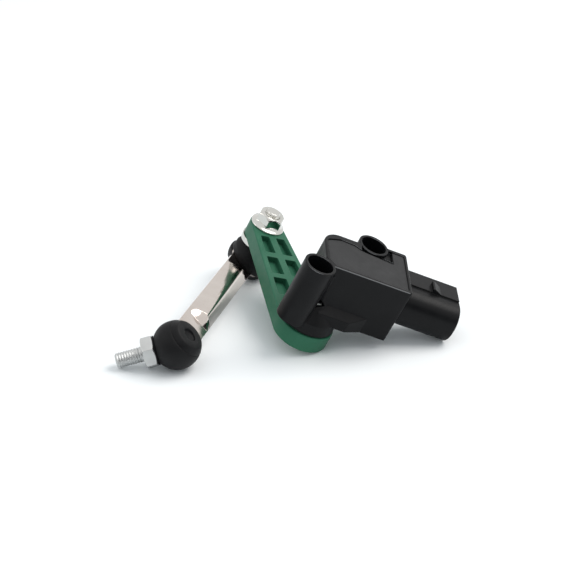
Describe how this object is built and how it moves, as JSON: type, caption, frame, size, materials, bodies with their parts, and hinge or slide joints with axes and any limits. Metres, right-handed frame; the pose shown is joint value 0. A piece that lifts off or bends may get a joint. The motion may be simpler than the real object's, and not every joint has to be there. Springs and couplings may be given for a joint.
{
  "type": "ride height sensor",
  "caption": "Black moulded height sensor with a ribbed green lever and a pressed steel link that has a ball joint at each end.",
  "frame": {"origin": "midway between the two fixing holes, on the plane of the housing's cover-side rim", "axes": "+Z along the fixing holes, out of the cover side; +X towards the connector; +Y towards the rear fixing tube's side"},
  "size_m": [0.1215, 0.0947, 0.0627],
  "materials": {
    "housing_black": "moulded, satin black",
    "cover_grey": "moulded, dull dark grey",
    "bush_bronze": "sintered bronze",
    "seal_rubber": "moulded black rubber",
    "board_green": "green solder mask",
    "chip_black": "black moulded package",
    "pin_tin": "tinned",
    "lever_green": "moulded, semi-gloss green",
    "shaft_steel": "ground steel",
    "clip_steel": "spring steel",
    "rotor_plastic": "moulded, natural white",
    "magnet_ferrite": "sintered magnet",
    "zinc_plate": "zinc plated",
    "boot_rubber": "moulded black rubber",
    "link_steel": "bright pressed sheet",
    "socket_black": "moulded black",
    "seat_white": "natural white plastic"
  },
  "bodies": {
    "housing_body": {"housing": "housing_black", "cover": "cover_grey", "shaft_bush": "bush_bronze", "shaft_seal": "seal_rubber", "circuit_board": "board_green", "hall_sensor": "chip_black", "terminal_pins": "pin_tin"},
    "lever_body": {"lever": "lever_green", "shaft": "shaft_steel", "retaining_clip": "clip_steel", "rotor": "rotor_plastic", "magnet": "magnet_ferrite", "flange_nut": "zinc_plate", "upper_ball_stud": "zinc_plate"},
    "upper_boot_body": {"upper_boot": "boot_rubber"},
    "link_body": {"link_rod": "link_steel", "upper_socket": "socket_black", "upper_ball_seat": "seat_white", "lower_socket": "socket_black", "lower_ball_seat": "seat_white"},
    "lower_boot_body": {"lower_boot": "boot_rubber"},
    "lower_stud_body": {"lower_ball_stud": "zinc_plate"}
  },
  "joints": [
    {"name": "lever_pivot", "type": "hinge", "parent": "housing_body", "child": "lever_body", "pos_m": [-0.00413, -0.0072, -0.0289], "axis": [0, 0, 1], "range_deg": [-60, 60]},
    {"name": "upper_joint_turn", "type": "hinge", "parent": "lever_body", "child": "upper_boot_body", "pos_m": [-0.01928, 0.05014, -0.0475], "axis": [0, 0, 1], "range_deg": [-120, 100]},
    {"name": "upper_joint_tilt", "type": "hinge", "parent": "upper_boot_body", "child": "link_body", "pos_m": [-0.01928, 0.05014, -0.0475], "axis": [0.1352, 0.9908, 0], "range_deg": [-46, 1]},
    {"name": "lower_joint_tilt", "type": "hinge", "parent": "link_body", "child": "lower_boot_body", "pos_m": [-0.05048, -0.02612, -0.04657], "axis": [-0.2604, 0.9522, 0.1595], "range_deg": [-65, 1]},
    {"name": "lower_joint_turn", "type": "hinge", "parent": "lower_boot_body", "child": "lower_stud_body", "pos_m": [-0.05048, -0.02612, -0.04657], "axis": [-0.7932, -0.1168, -0.5977], "continuous": true}
  ]
}
